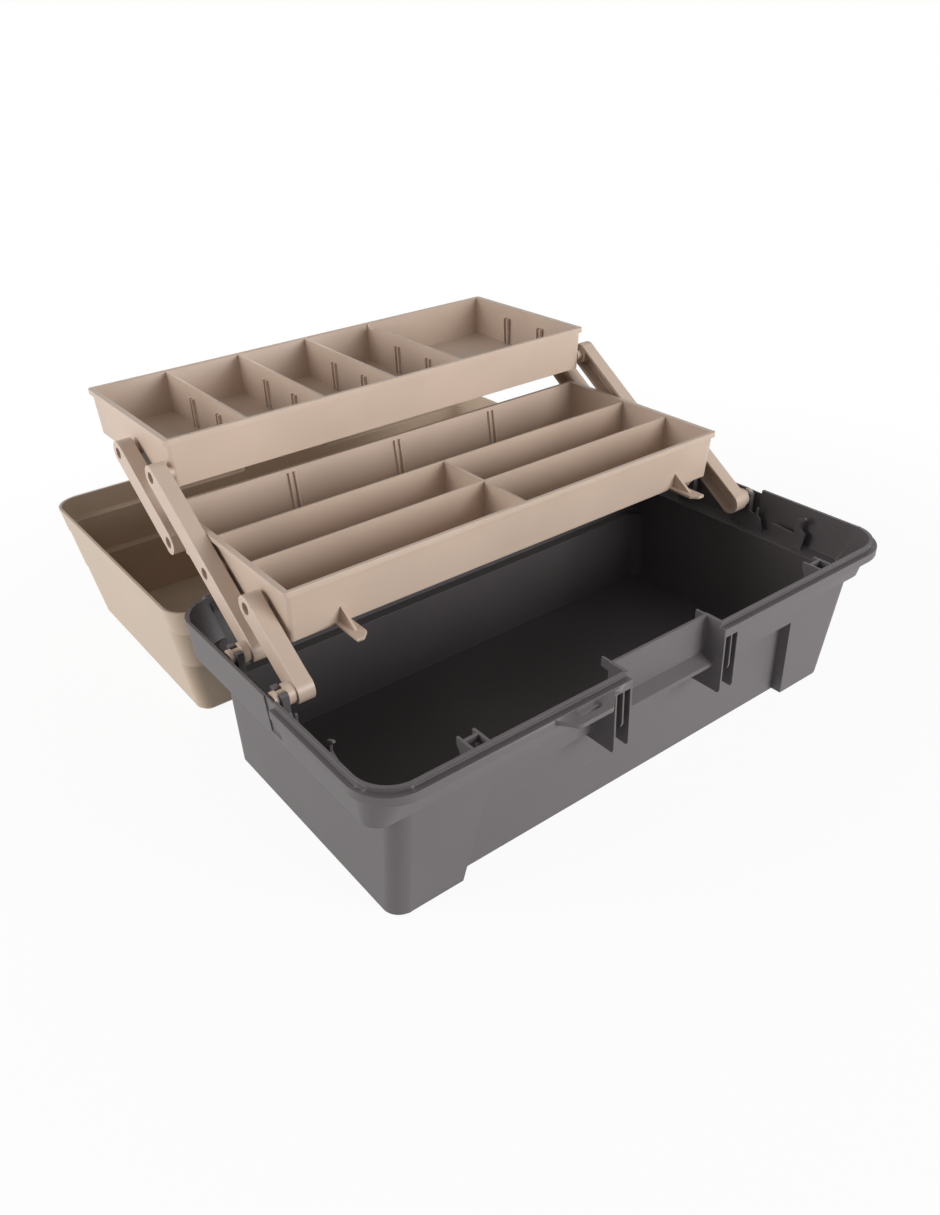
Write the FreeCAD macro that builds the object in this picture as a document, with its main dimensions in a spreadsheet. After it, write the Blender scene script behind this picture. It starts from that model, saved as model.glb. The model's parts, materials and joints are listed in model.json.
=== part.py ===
import FreeCAD, Part
import math
import os

import Sketcher

# Cantilever tackle box: a tub with a hinged lid, and two trays that rise and swing back on
# parallel arms. X runs along the box, -Y is its front, +Z is up. The origin is the middle of
# the tub's underside. Lengths are in millimetres, angles in degrees.
SIZES = {
    "tub": {
        "tub_height": 118.7,
        "tub_wall": 2.4,
        "tub_floor": 2.6,
        "body_half_length": 200.6,
        "front_foot_reach": 102.0,
        "rear_foot_reach": 100.0,
        "rear_step_reach": 102.5,
        "rear_step_height": 60.0,
        "rear_shoulder_reach": 111.5,
        "band_height": 32.7,
        "shelf_width": 14.4,
        "band_half_depth": 114.0,
        "rim_end_flare": 2.2,
        "rim_front_flare": 12.4,
        "foot_corner": 12.0,
        "band_corner": 12.0,
        "rim_corner": 25.0,
        "bead_reach": 3.4,
        "bead_drop": 4.0,
        "bead_height": 6.0,
        "bead_end_setback": 17.0,
        "rear_rim_drop": 3.0,
        "front_recess_foot_half": 151.0,
        "front_recess_top_half": 136.0,
        "front_recess_height": 73.0,
        "front_recess_depth": 8.0,
        "end_groove_width": 13.0,
        "end_groove_depth": 1.1,
        "end_groove_height": 26.0,
    },
    "latch bay of the tub": {
        "bay_half_width": 40.7,
        "bay_fin_length": 7.0,
        "bay_fin_height": 7.0,
        "bay_fin_wall": 1.6,
        "keeper_reach": 8.6,
        "keeper_root_rise": 6.4,
        "keeper_root_thickness": 5.9,
        "keeper_tip_rise": 1.2,
        "keeper_tip_thickness": 3.0,
        "ear_width": 13.8,
        "ear_wall": 1.6,
        "ear_rib_wall": 1.4,
        "ear_drop": 20.0,
        "ear_corner": 3.0,
        "ear_rib_drop": 7.0,
        "ear_rib_corner": 8.0,
    },
    "padlock tabs": {
        "hasp_inner_root": 55.0,
        "hasp_inner_tip": 68.0,
        "hasp_outer_tip": 93.0,
        "hasp_outer_root": 101.0,
        "hasp_reach": 12.2,
        "hasp_thickness": 3.0,
        "hasp_corner": 5.0,
        "hasp_hole_middle": 78.5,
        "hasp_hole_length": 17.0,
        "hasp_hole_radius": 3.2,
        "hasp_hole_edge": 8.6,
    },
    "tray rests": {
        "rest_middle": 149.0,
        "rest_half_width": 6.4,
        "rest_wall": 1.8,
        "rest_inset": 16.4,
        "rest_lip_height": 5.0,
        "rest_drop": 19.7,
        "rest_cross_setback": 6.0,
    },
    "arm clips and tray catches": {
        "pivot_drop": 6.2,
        "front_pivot_setback": 6.35,
        "pivot_spacing": 57.8,
        "clip_wall": 4.6,
        "clip_half_width": 7.6,
        "clip_head": 4.6,
        "clip_mouth_half": 3.2,
        "catch_wall": 2.0,
        "catch_length": 53.0,
        "catch_height": 29.0,
    },
    "hinges": {
        "hinge_standoff": 4.2,
        "hinge_drop": 8.2,
        "hinge_end_inset": 43.2,
        "knuckle_radius": 3.2,
        "lid_knuckle_half_width": 7.7,
        "tub_knuckle_width": 10.0,
        "hinge_pin_radius": 1.5,
        "hinge_pin_head": 0.9,
        "hinge_pin_head_radius": 2.3,
        "knuckle_web_top": 2.2,
        "knuckle_web_drop": 10.0,
    },
    "lid": {
        "lid_opening": 180.0,
        "lid_height": 101.6,
        "lid_wall": 2.4,
        "lid_rim_gap": 0.3,
        "lid_rim_inset": 1.2,
        "lid_end_draft": 15.6,
        "first_wall_top": 20.0,
        "first_wall_draft": 1.8,
        "second_wall_top": 53.0,
        "second_wall_draft": 2.0,
        "third_wall_draft": 3.0,
        "lid_step": 8.5,
        "lid_corner": 20.0,
        "lid_corner_step": 5.0,
        "lid_crown": 3.0,
        "lid_bay_depth": 10.4,
    },
    "latch": {
        "latch_width": 78.0,
        "latch_plate": 3.0,
        "latch_pivot_inset": 1.2,
        "latch_pivot_rise": 12.0,
        "latch_barrel": 4.0,
        "latch_pin_radius": 2.0,
        "latch_hook_gap": 0.4,
        "latch_hook_wall": 3.0,
        "latch_hook_inward": 8.2,
        "latch_lip": 4.0,
        "latch_lip_height": 3.5,
    },
    "handle": {
        "recess_half_length": 68.0,
        "recess_half_depth": 30.0,
        "recess_depth": 15.0,
        "recess_corner": 8.0,
        "handle_pivot_setback": 21.0,
        "handle_thickness": 11.0,
        "handle_sink": 0.5,
        "handle_arm_width": 11.0,
        "handle_tail": 6.0,
        "handle_reach": 49.0,
        "handle_grip_depth": 15.0,
        "handle_corner": 9.0,
        "handle_finger_corner": 6.0,
        "handle_edge": 2.0,
        "handle_trunnion_radius": 3.0,
        "handle_trunnion_end": 1.0,
        "handle_side_gap": 0.6,
    },
    "arms": {
        "arm_tilt": 34.4,
        "lower_reach": 60.4,
        "upper_reach": 80.4,
        "arm_shelf_setback": 15.5,
        "arm_depth": 11.2,
        "arm_half_width": 8.7,
        "arm_wall": 2.2,
        "arm_web": 2.5,
        "arm_hole_radius": 4.2,
        "arm_boss_radius": 7.0,
        "arm_boss_length": 5.3,
        "arm_pin_radius": 4.0,
        "arm_pin_wall_gap": 1.8,
        "arm_pin_head_radius": 4.9,
        "side_gap": 0.4,
        "running_gap": 0.05,
        "stud_gap": 0.08,
        "stud_recess": 6.0,
        "stud_bore_radius": 2.4,
    },
    "both trays": {
        "tray_wall": 2.0,
        "tray_floor": 2.0,
        "divider_wall": 1.8,
        "divider_drop": 0.8,
        "lip_height": 4.0,
        "end_lip": 2.0,
        "front_lip": 0.9,
        "tray_corner": 3.0,
        "slot_rib_wall": 1.7,
        "slot_rib_depth": 2.3,
        "slot_half_gap": 1.5,
    },
    "lower tray": {
        "lower_end_gap": 0.5,
        "lower_half_depth": 82.55,
        "lower_height": 37.5,
        "lower_draft": 4.3,
        "lower_end_draft": 0.6,
        "lower_pivot_drop": 20.1,
        "lower_pivot_setback": 50.1,
        "rear_row_line": 15.6,
        "front_row_line": 32.5,
        "lower_slot_drop": 3.0,
        "foot_middle": 149.0,
        "foot_half_width": 5.0,
        "foot_reach": 25.9,
        "foot_plate": 2.3,
        "foot_tip_bevel": 5.0,
        "foot_gusset_wall": 2.0,
        "foot_gusset_height": 14.0,
        "foot_gusset_reach": 17.0,
    },
    "upper tray": {
        "upper_end_gap": 0.7,
        "upper_half_depth": 72.4,
        "upper_height": 35.0,
        "upper_draft": 1.4,
        "upper_end_draft": 1.2,
        "upper_pivot_drop": 24.3,
        "upper_pivot_setback": 67.1,
        "cell_pitch": 62.5,
        "upper_slot_drop": 10.0,
        "thumb_notch_radius": 5.0,
    },
    "all cuts": {
        "overrun": 4.0,
    },
}

# Outlines of the catch on each end shelf, as shares of its length and height: the plate with
# a small open hook beside the front arm, and the low wall with the tall curled tray catch
CATCH_HOOK_SHARES = (
    (0.00, 0.00), (0.00, 0.62), (0.03, 0.56), (0.08, 0.55), (0.12, 0.62), (0.13, 0.76),
    (0.16, 0.75), (0.15, 0.54), (0.20, 0.46), (0.25, 0.17), (0.25, 0.00),
)
CATCH_WALL_SHARES = (
    (0.40, 0.00), (0.43, 0.50), (0.83, 0.46), (0.80, 0.70), (0.84, 0.88), (0.97, 1.00),
    (0.99, 0.96), (0.91, 0.82), (0.90, 0.64), (1.00, 0.54), (0.99, 0.34), (0.95, 0.00),
)
CENTRE_SHARE = 0.5
THIRD_SHARE = 1 / 3

doc = FreeCAD.newDocument("tackle_box")
sheet = doc.addObject("Spreadsheet::Sheet", "Sizes")


class Size:
    """A length or an angle that keeps both its number and its formula in the sheet's names."""

    def __init__(self, value, text):
        self.value = value
        self.text = text

    def __add__(self, other):
        other = as_size(other)
        return Size(self.value + other.value, f"({self.text} + {other.text})")

    def __sub__(self, other):
        other = as_size(other)
        return Size(self.value - other.value, f"({self.text} - {other.text})")

    def __mul__(self, other):
        other = as_size(other)
        return Size(self.value * other.value, f"({self.text} * {other.text})")

    def __truediv__(self, other):
        other = as_size(other)
        return Size(self.value / other.value, f"({self.text} / {other.text})")

    def __neg__(self):
        return Size(-self.value, f"(0 - {self.text})")

    def __rsub__(self, other):
        return as_size(other) - self

    __radd__ = __add__
    __rmul__ = __mul__


def as_size(number):
    """A plain number as a Size, and a Size as it is."""
    if isinstance(number, Size):
        return number
    return Size(float(number), repr(float(number)))


def cosine(angle):
    return Size(math.cos(math.radians(angle.value)), f"cos({angle.text})")


def sine(angle):
    return Size(math.sin(math.radians(angle.value)), f"sin({angle.text})")


def between(low, high, low_at, high_at, at):
    """The value at a height on the straight line from low at low_at to high at high_at."""
    return low + (high - low) * (at - low_at) / (high_at - low_at)


class Names:
    """The sheet's sizes, each read as an attribute."""


def fill_sheet():
    """Writes each size to a row of the sheet as plain text, with its name as the alias."""
    names = Names()
    row = 1
    for group, sizes in SIZES.items():
        sheet.set(f"A{row}", group)
        row += 1
        for name, value in sizes.items():
            sheet.set(f"A{row}", name)
            sheet.set(f"B{row}", str(value))
            sheet.setAlias(f"B{row}", name)
            setattr(names, name, Size(value, f"Sizes.{name}"))
            row += 1
    doc.recompute()
    return names


def derive_sizes():
    """Works out the sizes that follow from the sheet's, each under the name of its place."""
    s.ledge_height = s.tub_height - s.band_height
    s.band_half_length = s.body_half_length + s.shelf_width
    s.rim_half_length = s.band_half_length + s.rim_end_flare
    s.rim_half_depth = s.band_half_depth + s.rim_front_flare
    s.pivot_height = s.tub_height - s.pivot_drop
    s.hinge_height = s.tub_height - s.hinge_drop
    s.hinge_setback = s.rim_half_depth + s.hinge_standoff
    s.hinge_middle = s.rim_half_length - s.hinge_end_inset
    s.lid_half_length = s.rim_half_length - s.lid_rim_inset
    s.latch_pivot_reach = s.rim_half_depth - s.latch_pivot_inset
    s.latch_pivot_height = s.tub_height + s.lid_rim_gap + s.latch_pivot_rise
    keeper_bottom = s.ledge_height + s.keeper_tip_rise - s.keeper_tip_thickness
    s.latch_hook_radius = s.latch_pivot_height - keeper_bottom + s.latch_hook_gap
    s.arm_outer_face = s.band_half_length - s.arm_shelf_setback
    s.arm_inner_face = s.arm_outer_face - s.arm_depth
    s.arm_pin_end = s.rim_half_length - s.tub_wall - s.arm_pin_wall_gap
    s.lower_half_length = s.arm_inner_face - s.lower_end_gap
    s.upper_half_length = s.arm_inner_face - s.upper_end_gap


s = fill_sheet()
derive_sizes()

AXIS_X = FreeCAD.Vector(1, 0, 0)
DIAGONAL = FreeCAD.Vector(1, 1, 1)
PLANES = {
    "XY": (FreeCAD.Rotation(), FreeCAD.Vector(0, 0, 1), "z"),
    "YZ": (FreeCAD.Rotation(DIAGONAL, 120), AXIS_X, "x"),
    "XZ": (FreeCAD.Rotation(AXIS_X, 90), FreeCAD.Vector(0, 1, 0), "y"),
}


def place(item, x=0, y=0, z=0, tilt=None):
    """Binds an object's place to sizes, and turns it about X by tilt."""
    if tilt is not None:
        item.Placement = FreeCAD.Placement(FreeCAD.Vector(), FreeCAD.Rotation(AXIS_X, tilt.value))
        item.setExpression(".Placement.Rotation.Angle", tilt.text)
    for letter, size in zip("xyz", (x, y, z)):
        item.setExpression(f".Placement.Base.{letter}", as_size(size).text)
    return item


def new_sketch(name, plane, at, body=None):
    """An empty sketch on a plane, at a bound distance along the plane's normal."""
    turn, _, letter = PLANES[plane]
    if body is None:
        item = doc.addObject("Sketcher::SketchObject", name)
        item.Placement = FreeCAD.Placement(FreeCAD.Vector(), turn)
        item.setExpression(f".Placement.Base.{letter}", as_size(at).text)
        return item
    item = body.newObject("Sketcher::SketchObject", name)
    origin_plane = [o for o in body.Origin.OriginFeatures if o.Role == f"{plane}_Plane"][0]
    item.AttachmentSupport = [(origin_plane, "")]
    item.MapMode = "FlatFace"
    item.setExpression(".AttachmentOffset.Base.z", as_size(at).text)
    return item


def fix_point(item, edge, end, point):
    """Holds one end of a sketch edge at bound distances from the sketch's origin."""
    for kind, size in zip(("DistanceX", "DistanceY"), point):
        size = as_size(size)
        number = item.addConstraint(Sketcher.Constraint(kind, -1, 1, edge, end, size.value))
        item.setExpression(f"Constraints[{number}]", size.text)


def flat(point):
    return FreeCAD.Vector(as_size(point[0]).value, as_size(point[1]).value, 0)


def polygon(name, points, plane="XY", at=0, body=None):
    """A closed sketch of straight edges through the points."""
    item = new_sketch(name, plane, at, body)
    count = len(points)
    for index, point in enumerate(points):
        following = points[(index + 1) % count]
        item.addGeometry(Part.LineSegment(flat(point), flat(following)))
    for index, point in enumerate(points):
        item.addConstraint(Sketcher.Constraint("Coincident", index, 2, (index + 1) % count, 1))
        fix_point(item, index, 1, point)
    return item


def add_arc(item, middle, radius, start):
    """Adds a quarter circle that starts at the given angle, in degrees."""
    circle = Part.Circle(flat(middle), FreeCAD.Vector(0, 0, 1), radius.value)
    item.addGeometry(Part.ArcOfCircle(circle, math.radians(start), math.radians(start + 90)))


def rounded(name, u, v, radius, plane="XY", at=0, body=None):
    """A rectangle between the bounds u and v, with a quarter circle at each corner."""
    item = new_sketch(name, plane, at, body)
    radius = as_size(radius)
    left, right = (as_size(bound) for bound in u)
    low, high = (as_size(bound) for bound in v)
    edges = (
        ((left + radius, low), (right - radius, low)),
        ((right, low + radius), (right, high - radius)),
        ((right - radius, high), (left + radius, high)),
        ((left, high - radius), (left, low + radius)),
    )
    middles = (
        (right - radius, low + radius),
        (right - radius, high - radius),
        (left + radius, high - radius),
        (left + radius, low + radius),
    )
    for start, end in edges:
        item.addGeometry(Part.LineSegment(flat(start), flat(end)))
    for index, middle in enumerate(middles):
        add_arc(item, middle, radius, 90 * (index - 1))
    for index, (start, end) in enumerate(edges):
        fix_point(item, index, 1, start)
        fix_point(item, index, 2, end)
    for index in range(4):
        item.addConstraint(Sketcher.Constraint("Tangent", index, 2, index + 4, 1))
        item.addConstraint(Sketcher.Constraint("Coincident", index + 4, 2, (index + 1) % 4, 1))
    return item


def link_outline(name, start, end, radius, at, body):
    """A straight link with round ends on the YZ plane, from one pivot to the other."""
    item = new_sketch(name, "YZ", at, body)
    start, end = as_size(start), as_size(end)
    lines = (((start, -radius), (end, -radius)), ((end, radius), (start, radius)))
    for first, last in lines:
        item.addGeometry(Part.LineSegment(flat(first), flat(last)))
    for middle, angle in ((end, -90), (start, 90)):
        circle = Part.Circle(flat((middle, 0)), FreeCAD.Vector(0, 0, 1), radius.value)
        item.addGeometry(
            Part.ArcOfCircle(circle, math.radians(angle), math.radians(angle + 180))
        )
    for index, (first, last) in enumerate(lines):
        fix_point(item, index, 1, first)
        fix_point(item, index, 2, last)
    for index in range(2):
        item.addConstraint(Sketcher.Constraint("Tangent", index, 2, index + 2, 1))
        item.addConstraint(Sketcher.Constraint("Coincident", index + 2, 2, 1 - index, 1))
    return item


def round_outline(name, middle, radius, at, body):
    """A circle on the YZ plane, centred on the link's middle line."""
    item = new_sketch(name, "YZ", at, body)
    circle = Part.Circle(flat((middle, 0)), FreeCAD.Vector(0, 0, 1), radius.value)
    item.addGeometry(circle)
    fix_point(item, 0, 3, (middle, 0))
    number = item.addConstraint(Sketcher.Constraint("Radius", 0, radius.value))
    item.setExpression(f"Constraints[{number}]", radius.text)
    return item


def prism(outline, length, plane="XY"):
    """An outline carried straight along its plane's axis."""
    item = doc.addObject("Part::Extrusion", outline.Name + "_prism")
    item.Base = outline
    item.DirMode = "Custom"
    item.Dir = PLANES[plane][1]
    item.Solid = True
    item.setExpression("LengthFwd", as_size(length).text)
    return item


def loft(name, outlines):
    """A ruled solid through the outlines, from the first to the last."""
    item = doc.addObject("Part::Loft", name)
    item.Sections = outlines
    item.Solid = True
    item.Ruled = True
    return item


def box(name, x, y, z):
    """A box between two bounds along each axis."""
    item = doc.addObject("Part::Box", name)
    for side, (low, high) in zip(("Length", "Width", "Height"), (x, y, z)):
        item.setExpression(side, (as_size(high) - as_size(low)).text)
    return place(item, x[0], y[0], z[0])


def rod(name, radius, x, y, z):
    """A cylinder along X between two bounds."""
    item = doc.addObject("Part::Cylinder", name)
    item.Placement = FreeCAD.Placement(
        FreeCAD.Vector(), FreeCAD.Rotation(FreeCAD.Vector(0, 1, 0), 90)
    )
    item.setExpression("Radius", as_size(radius).text)
    item.setExpression("Height", (as_size(x[1]) - as_size(x[0])).text)
    for letter, size in zip("xyz", (x[0], y, z)):
        item.setExpression(f".Placement.Base.{letter}", as_size(size).text)
    return item


def fuse(name, *items):
    item = doc.addObject("Part::MultiFuse", name)
    item.Shapes = list(items)
    item.Refine = True
    return item


def cut(name, base, *tools):
    item = doc.addObject("Part::Cut", name)
    item.Base = base
    item.Tool = tools[0] if len(tools) == 1 else fuse(name + "_tools", *tools)
    item.Refine = True
    return item


def common(name, base, tool):
    item = doc.addObject("Part::Common", name)
    item.Base = base
    item.Tool = tool
    return item


def mirrored(item, label=None):
    """The same piece on the other end of the box."""
    copy = doc.addObject("Part::Mirroring", item.Name + "_other")
    copy.Source = item
    copy.Base = FreeCAD.Vector()
    copy.Normal = AXIS_X
    if label:
        copy.Label = label
    return copy


def on_both_ends(*items):
    return [end for item in items for end in (item, mirrored(item))]


def is_upright(edge):
    bounds = edge.BoundBox
    return bounds.ZLength > bounds.DiagonalLength * CENTRE_SHARE


def is_level(edge):
    return not is_upright(edge)


def soften_edges(kind, name, base, radius, chosen):
    """Fillets or chamfers the edges of a finished base that the test picks."""
    doc.recompute()
    item = doc.addObject(f"Part::{kind}", name)
    item.Base = base
    numbered = enumerate(base.Shape.Edges, start=1)
    item.Edges = [(i, radius.value, radius.value) for i, edge in numbered if chosen(edge)]
    return item


def tapered(name, corner, foot, top, inset=0):
    """A block with round upright corners between two levels of length, front, rear, height.

    The wedge is made lying down, its ends along Y, and stood up by a quarter turn.
    """
    block = doc.addObject("Part::Wedge", name + "_block")
    block.Placement = FreeCAD.Placement(FreeCAD.Vector(), PLANES["XZ"][0])
    for number, height_side, (half_length, front, rear, at) in (
        ("", "Ymin", foot), ("2", "Ymax", top),
    ):
        bounds = {
            f"X{number}min": inset - half_length,
            f"X{number}max": half_length - inset,
            f"Z{number}min": inset - rear,
            f"Z{number}max": front - inset,
            height_side: at,
        }
        for side, size in bounds.items():
            block.setExpression(side, as_size(size).text)
    return soften_edges("Fillet", name, block, corner - inset, is_upright)


# Places that several pieces share
ledge_top = s.ledge_height + s.tub_wall
pivots = (-s.front_pivot_setback, s.pivot_spacing - s.front_pivot_setback)
arm_reach = s.lower_reach + s.upper_reach
bead_half_length = s.rim_half_length + s.bead_reach
bead_half_depth = s.rim_half_depth + s.bead_reach
bead_top = s.tub_height - s.bead_drop
panel_reach = s.band_half_depth
lid_rim = s.tub_height + s.lid_rim_gap
lid_top = lid_rim + s.lid_height
stud_radius = s.arm_hole_radius - s.stud_gap


def linked(reach, pivot):
    """Where an arm of the given reach ends, in Y and Z, when it stands on a tub pivot."""
    return pivot + reach * cosine(s.arm_tilt), s.pivot_height + reach * sine(s.arm_tilt)


lower_front = linked(s.lower_reach, pivots[0])
upper_front = linked(arm_reach, pivots[1])
lower_middle = lower_front[0] + s.lower_pivot_setback
lower_rim = lower_front[1] + s.lower_pivot_drop
upper_middle = upper_front[0] + s.upper_pivot_setback
upper_rim = upper_front[1] + s.upper_pivot_drop


def tub_section(name, half_length, front, rear, corner, at, inset=0):
    """A level outline of the tub, moved inwards by the inset."""
    return rounded(
        name,
        (inset - half_length, half_length - inset),
        (inset - front, rear - inset),
        corner - inset,
        at=at,
    )


def front_reach_at(height):
    """How far forward the tub's outer front stands at a height in the upper band."""
    return between(s.band_half_depth, s.rim_half_depth, s.ledge_height, s.tub_height, height)


def front_wall_at(height):
    """How far forward the tub's outer front stands at a height below the ledge."""
    return between(s.front_foot_reach, s.band_half_depth, as_size(0), s.ledge_height, height)


def make_tub_outside():
    """The lower body, the rear shoulder, the flared upper band and the bead round its front."""
    rear_top = between(
        s.rear_foot_reach, s.rear_step_reach, as_size(0), s.rear_step_height, s.ledge_height
    )
    body = tapered(
        "tub_body", s.foot_corner,
        (s.body_half_length, s.front_foot_reach, s.rear_foot_reach, 0),
        (s.body_half_length, s.band_half_depth, rear_top, s.ledge_height),
    )
    shoulder = tapered(
        "tub_shoulder", s.foot_corner,
        (s.body_half_length, 0, s.rear_shoulder_reach, s.rear_step_height),
        (s.body_half_length, 0, s.band_half_depth, s.ledge_height),
    )
    band = loft("tub_band", [
        tub_section("band_foot", s.band_half_length, s.band_half_depth, s.band_half_depth,
                    s.band_corner, s.ledge_height),
        tub_section("band_top", s.rim_half_length, s.rim_half_depth, s.rim_half_depth,
                    s.rim_corner, s.tub_height),
    ])
    bead_ring = prism(
        tub_section("bead", bead_half_length, bead_half_depth, bead_half_depth,
                    s.rim_corner + s.bead_reach, bead_top - s.bead_height),
        s.bead_height,
    )
    behind_bead = box(
        "behind_bead",
        (-bead_half_length - s.overrun, bead_half_length + s.overrun),
        (-s.bead_end_setback, bead_half_depth + s.overrun),
        (bead_top - s.bead_height - s.overrun, bead_top + s.overrun),
    )
    bead = cut("front_bead", bead_ring, behind_bead)
    return fuse("tub_outside", body, shoulder, band, bead)


def make_front_recess(name, half_foot, half_top, height, depth, back):
    """The shallow trapezoid set back between the corner feet of the front wall."""
    sides = prism(
        polygon(f"{name}_sides", (
            (-half_foot, -s.overrun), (half_foot, -s.overrun), (half_top, height),
            (-half_top, height),
        ), "XZ", -s.rim_half_depth),
        s.rim_half_depth,
        "XZ",
    )
    top_reach = front_wall_at(height)
    slope = prism(
        polygon(f"{name}_slope", (
            (-s.rim_half_depth, -s.overrun),
            (depth - s.front_foot_reach + back, -s.overrun),
            (depth - s.front_foot_reach + back, 0),
            (depth - top_reach + back, height),
            (-s.rim_half_depth, height),
        ), "YZ", -half_foot),
        half_foot * 2,
        "YZ",
    )
    return common(name, sides, slope)


def make_tub_inside():
    """The space in the tub, less the backs of the front recess and of the latch bay."""
    wall = s.tub_wall
    rear_top = between(
        s.rear_foot_reach, s.rear_step_reach, as_size(0), s.rear_step_height, ledge_top
    )
    body = tapered(
        "body_space", s.foot_corner,
        (s.body_half_length, s.front_foot_reach, s.rear_foot_reach, s.tub_floor),
        (s.body_half_length, s.band_half_depth, rear_top, ledge_top),
        wall,
    )
    shoulder = tapered(
        "shoulder_space", s.foot_corner,
        (s.body_half_length, 0, s.rear_shoulder_reach, s.rear_step_height + wall),
        (s.body_half_length, 0, s.band_half_depth, ledge_top),
        wall,
    )
    over = s.tub_height + s.overrun
    length_over = between(
        s.band_half_length, s.rim_half_length, s.ledge_height, s.tub_height, over
    )
    band = tapered(
        "band_space", s.rim_corner,
        (s.band_half_length, s.band_half_depth, s.band_half_depth, ledge_top),
        (length_over, front_reach_at(over), front_reach_at(over), over),
        wall,
    )
    recess_back = make_front_recess(
        "recess_back", s.front_recess_foot_half + wall, s.front_recess_top_half + wall,
        s.front_recess_height + wall, s.front_recess_depth, wall,
    )
    bay_half = s.bay_half_width + wall
    bay_back = box(
        "bay_back",
        (-bay_half, bay_half),
        (-bead_half_depth - s.overrun, wall - panel_reach),
        (s.ledge_height, over + s.overrun),
    )
    space = fuse("whole_space", body, shoulder, band)
    return cut("tub_inside", space, recess_back, bay_back)


def make_keeper():
    """The sloping bar in the latch bay, under which the latch hooks."""
    root = s.tub_wall * CENTRE_SHARE - panel_reach
    tip = -panel_reach - s.keeper_reach
    root_top = s.ledge_height + s.keeper_root_rise
    tip_top = s.ledge_height + s.keeper_tip_rise
    outline = polygon("keeper", (
        (root, root_top), (tip, tip_top), (tip, tip_top - s.keeper_tip_thickness),
        (root, root_top - s.keeper_root_thickness),
    ), "YZ", -s.bay_half_width)
    return prism(outline, s.bay_half_width * 2, "YZ")


def make_ear_web(name, x, wall, drop, corner):
    """An upright web from the front wall out to the bead, its lower front corner rounded."""
    half = s.tub_wall * CENTRE_SHARE
    bottom = s.ledge_height - drop
    top = bead_top - s.bead_height * CENTRE_SHARE
    recess_top = s.front_recess_height + half
    back = [
        (half - s.band_half_depth, s.ledge_height), (half - front_reach_at(top), top),
    ]
    if bottom.value < s.front_recess_height.value:
        low, high = (half - front_wall_at(height) for height in (bottom, recess_top))
        back = [
            (low + s.front_recess_depth, bottom), (high + s.front_recess_depth, recess_top),
            (high, recess_top),
        ] + back
    else:
        back.insert(0, (half - front_wall_at(bottom), bottom))
    outline = polygon(
        name + "_outline", [(-bead_half_depth, bottom), *back, (-bead_half_depth, top)], "YZ", x
    )
    front, foot = -bead_half_depth.value, bottom.value
    return soften_edges(
        "Fillet", name, prism(outline, wall, "YZ"), corner,
        lambda edge: max(abs(edge.CenterOfMass.y - front), abs(edge.CenterOfMass.z - foot))
        < s.side_gap.value,
    )


def make_ear_webs():
    """The three webs beside the latch bay, the middle one thinner and shorter."""
    inner = s.bay_half_width
    outer = s.bay_half_width + s.ear_width - s.ear_wall
    middle = s.bay_half_width + (s.ear_width - s.ear_rib_wall) * CENTRE_SHARE
    return [
        make_ear_web("ear_inner_web", inner, s.ear_wall, s.ear_drop, s.ear_corner),
        make_ear_web("ear_outer_web", outer, s.ear_wall, s.ear_drop, s.ear_corner),
        make_ear_web("ear_rib", middle, s.ear_rib_wall, s.ear_rib_drop, s.ear_rib_corner),
    ]


def make_hasp(name, bottom):
    """A flat padlock tab with round corners and a long hole for a small shackle."""
    root = s.tub_wall * CENTRE_SHARE - s.rim_half_depth
    tip = -bead_half_depth - s.hasp_reach
    blank = prism(
        polygon(name + "_plate", (
            (-s.hasp_outer_root, root), (-s.hasp_outer_root, -bead_half_depth),
            (-s.hasp_outer_tip, tip), (-s.hasp_inner_tip, tip),
            (-s.hasp_inner_root, -bead_half_depth), (-s.hasp_inner_root, root),
        ), at=bottom),
        s.hasp_thickness,
    )
    plate = soften_edges(
        "Fillet", name + "_round_plate", blank, s.hasp_corner,
        lambda edge: is_upright(edge) and abs(edge.CenterOfMass.y - tip.value) < s.side_gap.value,
    )
    half_hole = s.hasp_hole_length * CENTRE_SHARE
    hole_corner = s.hasp_hole_radius - s.side_gap
    hole_middle = tip + s.hasp_hole_edge
    hole = prism(
        rounded(name + "_hole",
                (-s.hasp_hole_middle - half_hole, half_hole - s.hasp_hole_middle),
                (hole_middle - s.hasp_hole_radius, hole_middle + s.hasp_hole_radius),
                hole_corner, at=bottom - s.overrun),
        s.hasp_thickness + s.overrun * 2,
    )
    return plate, hole


def make_tray_rest():
    """An open frame of thin ribs inside the front wall, on which a foot of the tray rests."""
    inner = s.rest_middle - s.rest_half_width
    outer = s.rest_middle + s.rest_half_width
    half_wall = s.tub_wall * CENTRE_SHARE
    reach = s.rim_half_depth - s.rest_inset
    foot = s.tub_height - s.rest_drop
    points = (
        (half_wall - front_reach_at(s.tub_height), s.tub_height),
        (-reach, s.tub_height),
        (-reach, s.tub_height - s.rest_lip_height),
        (half_wall - front_reach_at(foot), foot),
    )
    ribs = [
        prism(polygon(f"rest_rib_{side}", points, "YZ", at), s.rest_wall, "YZ")
        for side, at in (("inner", inner), ("outer", outer - s.rest_wall))
    ]
    cross_front = -reach - s.rest_cross_setback
    cross = box(
        "rest_cross", (inner, outer), (cross_front, cross_front + s.rest_wall),
        (s.tub_height - s.rest_lip_height, s.tub_height),
    )
    return fuse("tray_rest", cross, *ribs)


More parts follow.
